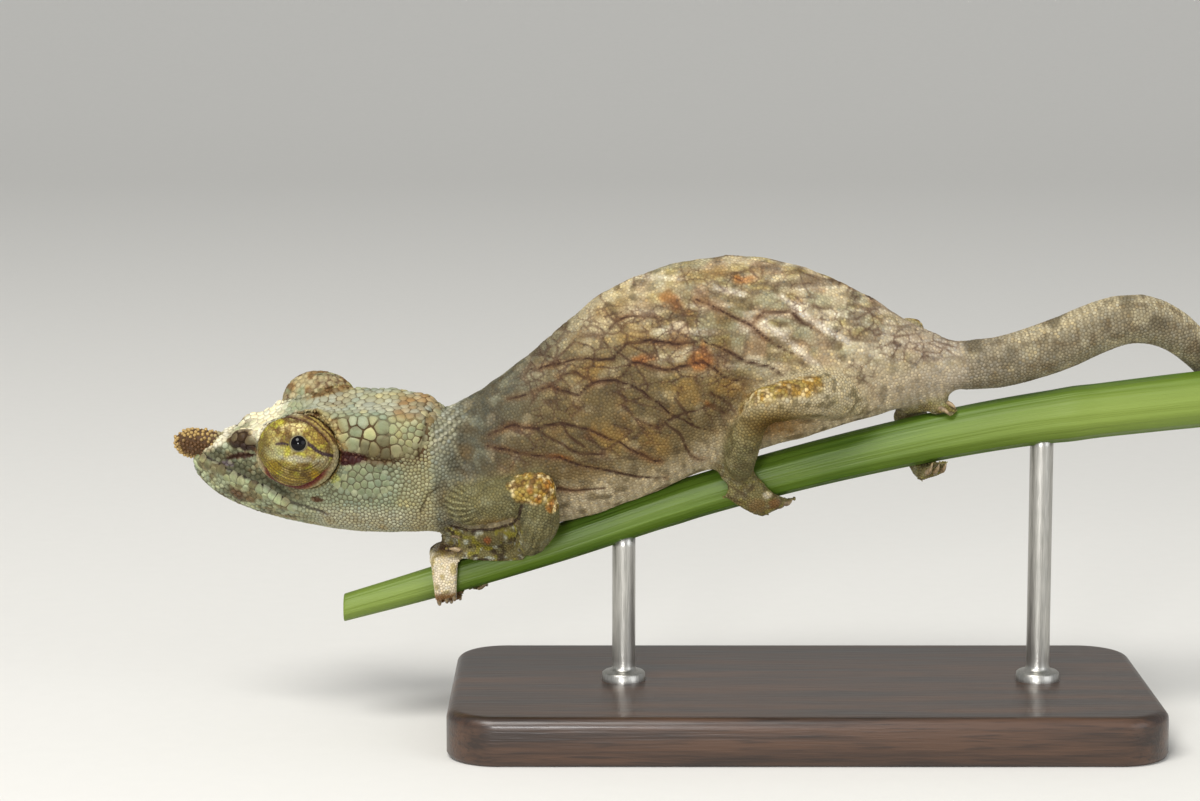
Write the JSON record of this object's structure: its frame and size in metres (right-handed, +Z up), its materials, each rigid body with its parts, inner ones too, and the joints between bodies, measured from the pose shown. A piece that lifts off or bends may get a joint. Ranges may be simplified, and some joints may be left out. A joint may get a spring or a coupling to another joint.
{
  "type": "nose-horned chameleon on a stem",
  "caption": "Small chameleon with a blunt nose horn walking head-down along a cut green flower stem, its tail wound round the stem, on a small display stand.",
  "frame": {"origin": "middle of the whole model's outer box, on the underside of the stand's base", "axes": "+Z up; +X along the stem from the animal's head towards its tail, so the animal faces -X; +Y to the animal's right"},
  "size_m": [0.0816, 0.023, 0.032],
  "materials": {
    "head_skin": "matt, small plates",
    "horn_skin": "matt, bumpy",
    "eyelid_skin": "matt, fine granules in rings",
    "eye": "wet gloss",
    "body_skin": "matt, small scales",
    "tail_skin": "matt, small scales",
    "limb_skin": "matt, small scales",
    "stem": "smooth green stalk with lengthwise ribs",
    "stand_wood": "dark, satin",
    "stand_steel": "satin"
  },
  "bodies": {
    "root": {"head": "head_skin", "lower_jaw": "head_skin", "casque": "head_skin", "nose_horn": "horn_skin", "left_eye_turret": "eyelid_skin", "right_eye_turret": "eyelid_skin", "left_eye": "eye", "right_eye": "eye", "neck": "body_skin", "chest": "body_skin", "belly": "body_skin", "hips": "body_skin", "tail_1": "tail_skin", "tail_2": "tail_skin", "tail_3": "tail_skin", "tail_4": "tail_skin", "tail_5": "tail_skin", "tail_6": "tail_skin", "left_upper_arm": "limb_skin", "left_forearm": "limb_skin", "left_hand": "limb_skin", "left_hand_outer_toes": "limb_skin", "left_hand_inner_toes": "limb_skin", "left_thigh": "limb_skin", "left_shank": "limb_skin", "left_foot": "limb_skin", "left_foot_outer_toes": "limb_skin", "left_foot_inner_toes": "limb_skin", "right_upper_arm": "limb_skin", "right_forearm": "limb_skin", "right_hand": "limb_skin", "right_hand_outer_toes": "limb_skin", "right_hand_inner_toes": "limb_skin", "right_thigh": "limb_skin", "right_shank": "limb_skin", "right_foot": "limb_skin", "right_foot_outer_toes": "limb_skin", "right_foot_inner_toes": "limb_skin", "perch_stem": "stem", "stand_base": "stand_wood", "stand_rod_front": "stand_steel", "stand_rod_rear": "stand_steel"}
  },
  "joints": []
}
